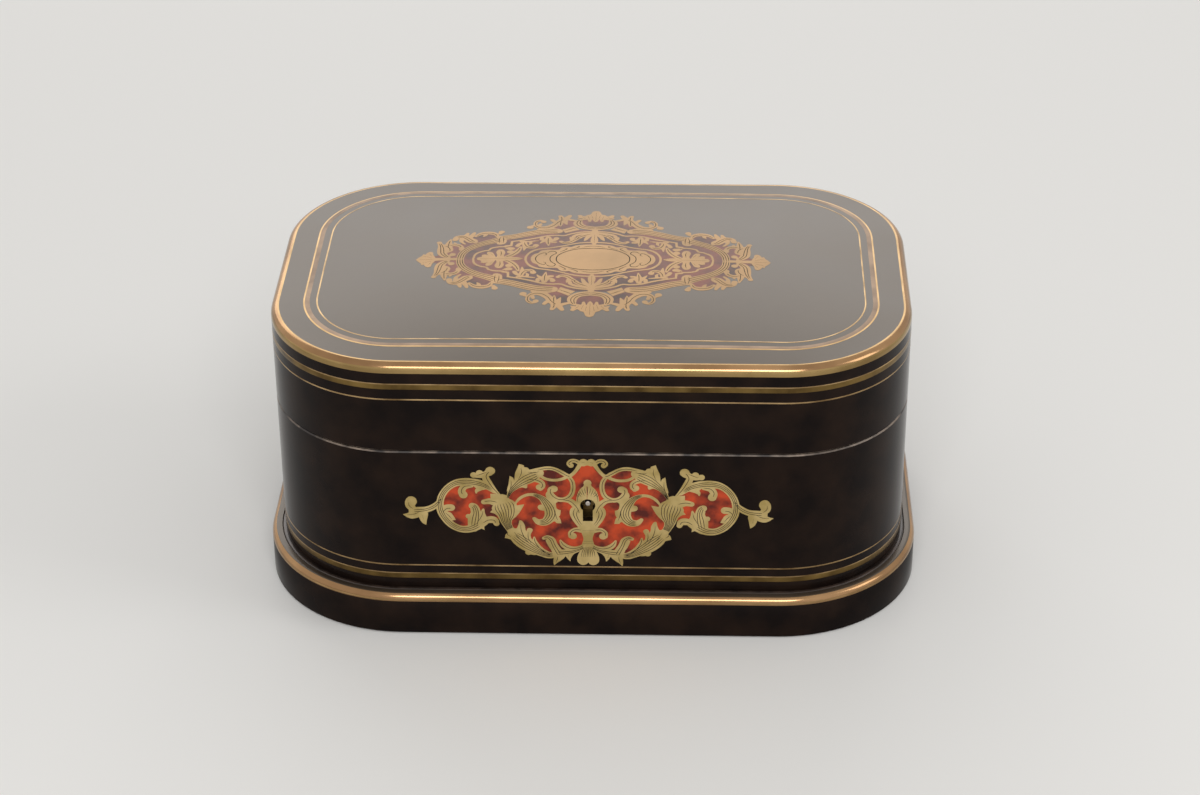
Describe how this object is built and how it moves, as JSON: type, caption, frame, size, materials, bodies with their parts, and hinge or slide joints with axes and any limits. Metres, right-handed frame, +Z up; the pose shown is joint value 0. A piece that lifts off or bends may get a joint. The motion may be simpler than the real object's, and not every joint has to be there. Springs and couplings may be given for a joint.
{
  "type": "jewelry casket",
  "caption": "Ebonised jewelry casket with rounded ends, slightly domed hinged lid, brass stringing, shell-and-brass marquetry, plinth foot, lock and lift-out tray.",
  "frame": {"origin": "on the surface that the casket stands on, at the middle of its plan", "axes": "+X along the length, to the right as seen from the front; -Y towards the front; +Z up"},
  "size_m": [0.2716, 0.1746, 0.128],
  "materials": {
    "ebonised_wood": "blackened pearwood veneer, gloss french polish",
    "bare_wood": "planed hardwood",
    "tray_wood": "thin stained hardwood, waxed",
    "brass": "polished brass, slightly toned",
    "engraved_brass": "sawn and engraved sheet brass",
    "red_shell": "polished horn shell over red foil",
    "dark_shell": "polished dark shell over foil",
    "lock_brass": "filed sheet brass",
    "steel": "filed steel",
    "screw_brass": "turned brass",
    "silk": "padded silk satin",
    "velvet": "cotton velvet",
    "ribbon": "silk ribbon",
    "baize": "glued wool baize"
  },
  "bodies": {
    "case": {"case_walls": "ebonised_wood", "bottom_board": "bare_wood", "underside_baize": "baize", "plinth": "ebonised_wood", "plinth_moulding": "brass", "case_lower_band": "brass", "case_fine_line": "brass", "front_shell_panel": "red_shell", "front_brass_fret": "engraved_brass", "lock_plate": "lock_brass", "lock_case": "lock_brass", "lock_pin": "steel", "lock_spring": "steel", "lock_screws": "screw_brass", "hinge_screws_case": "screw_brass", "case_wall_lining": "silk", "tray_ledge": "silk", "base_pad": "silk", "hinge_lower_leaf_left": "lock_brass", "hinge_lower_leaf_right": "lock_brass", "hinge_pin_left": "steel", "hinge_pin_right": "steel"},
    "lid": {"lid_walls": "ebonised_wood", "lid_top_board": "ebonised_wood", "lid_edge_moulding": "brass", "lid_side_band": "brass", "lid_side_line": "brass", "lid_top_band": "brass", "lid_top_line": "brass", "medallion_ground": "dark_shell", "medallion_brass": "engraved_brass", "striker": "lock_brass", "striker_screws": "screw_brass", "hinge_screws_lid": "screw_brass", "hinge_upper_leaf_left": "lock_brass", "hinge_upper_leaf_right": "lock_brass", "lid_wall_lining": "silk", "lid_pad": "silk"},
    "tray": {"tray_frame": "tray_wood", "tray_bottom": "bare_wood", "tray_dividers": "bare_wood", "tray_pads": "velvet", "ring_cushion": "velvet", "tray_lift_tabs": "ribbon"},
    "bolt": {"lock_bolt": "steel"}
  },
  "joints": [
    {"name": "lid_hinge", "type": "hinge", "parent": "case", "child": "lid", "pos_m": [0, 0.083, 0.0838], "axis": [-1, 0, 0], "range_deg": [0, 95]},
    {"name": "tray_lift", "type": "slide", "parent": "case", "child": "tray", "axis": [0, 0, 1], "range_m": [0, 0.02]},
    {"name": "bolt_throw", "type": "slide", "parent": "case", "child": "bolt", "axis": [1, 0, 0], "range_m": [0, 0.004]}
  ]
}
